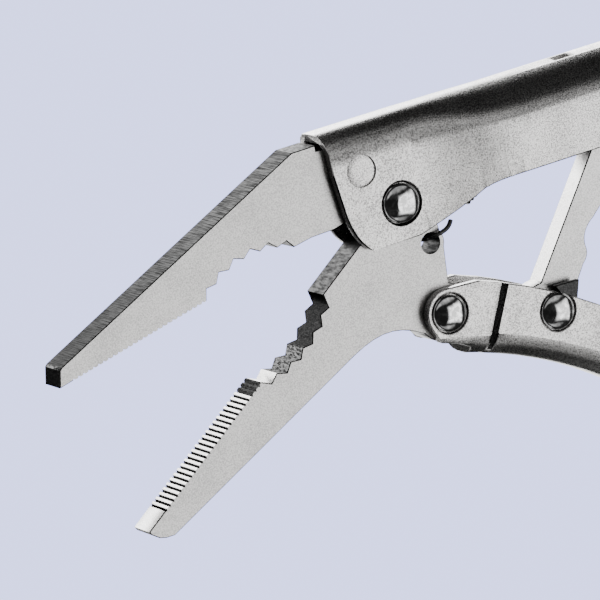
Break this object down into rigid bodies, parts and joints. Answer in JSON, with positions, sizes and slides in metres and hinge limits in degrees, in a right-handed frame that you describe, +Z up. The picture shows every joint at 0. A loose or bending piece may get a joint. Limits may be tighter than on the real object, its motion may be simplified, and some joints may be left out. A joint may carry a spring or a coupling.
{
  "type": "locking pliers",
  "caption": "Long-nose locking pliers in zinc-plated steel: toothed jaws, folded sheet handles, toggle link, release lever, screw adjustment, return spring.",
  "frame": {"origin": "middle of the underside of the bounding box, on the surface that the tool lies on, jaws open", "axes": "+X back along the fixed handle towards the adjusting knob, +Y from the lower handle towards the fixed handle, +Z up through the thickness of the tool"},
  "size_m": [0.165, 0.0868, 0.0146],
  "materials": {
    "zinc_sheet": "bright zinc-plated sheet steel, satin with a fine grain",
    "jaw_steel": "zinc-plated forged steel, matt satin, ground along the edges",
    "link_steel": "zinc-plated blanked steel, satin faces and bright edges",
    "rivet_steel": "bright polished crowned rivet heads",
    "spindle_steel": "turned and zinc-plated",
    "black_steel": "black phosphated pressing",
    "spring_steel": "dark drawn spring wire"
  },
  "bodies": {
    "fixed_handle": {"upper_handle": "zinc_sheet", "fixed_jaw": "jaw_steel", "fixed_jaw_pin": "zinc_sheet", "jaw_pivot_rivet": "rivet_steel", "tension_spring": "spring_steel"},
    "jaw": {"lower_jaw": "jaw_steel"},
    "handle": {"lower_handle": "zinc_sheet", "handle_rivet": "rivet_steel", "link_rivet": "rivet_steel", "lever_rivet": "rivet_steel"},
    "link": {"toggle_link": "link_steel"},
    "lever": {"release_lever": "black_steel"},
    "spindle": {"adjusting_spindle": "spindle_steel"},
    "knob": {"adjusting_knob": "spindle_steel"}
  },
  "joints": [
    {"name": "jaw_pivot", "type": "hinge", "parent": "fixed_handle", "child": "jaw", "pos_m": [-0.01569, 0.02837, 0.0073], "axis": [0, 0, -1], "range_deg": [0, 24.7], "stiffness_Nm_per_rad": 0.08, "springref_deg": -34.38, "deforming": ["tension_spring"]},
    {"name": "handle_pivot", "type": "hinge", "parent": "jaw", "child": "handle", "pos_m": [-0.01089, 0.00757, 0.0073], "axis": [0, 0, 1], "range_deg": [0, 65.5]},
    {"name": "link_pivot", "type": "hinge", "parent": "handle", "child": "link", "pos_m": [0.00891, 0.00217, 0.0073], "axis": [0, 0, -1], "range_deg": [0, 63]},
    {"name": "release_lever_pivot", "type": "hinge", "parent": "handle", "child": "lever", "pos_m": [0.02602, -0.01103, 0.0073], "axis": [0, 0, -1], "range_deg": [0, 5]},
    {"name": "spindle_screw", "type": "slide", "parent": "fixed_handle", "child": "spindle", "axis": [1, 0, 0], "range_m": [0, 0.012]},
    {"name": "knob_turn", "type": "hinge", "parent": "spindle", "child": "knob", "pos_m": [0.07431, 0.03608, 0.0073], "axis": [-1, 0, 0], "range_deg": [0, 3460]}
  ],
  "couplings": [
    {"joint": "handle_pivot", "follows": "jaw_pivot", "ratio": 2.6518},
    {"joint": "link_pivot", "follows": "jaw_pivot", "ratio": 2.5506},
    {"joint": "knob_turn", "follows": "spindle_screw", "rad_per_m": 5026.5}
  ]
}
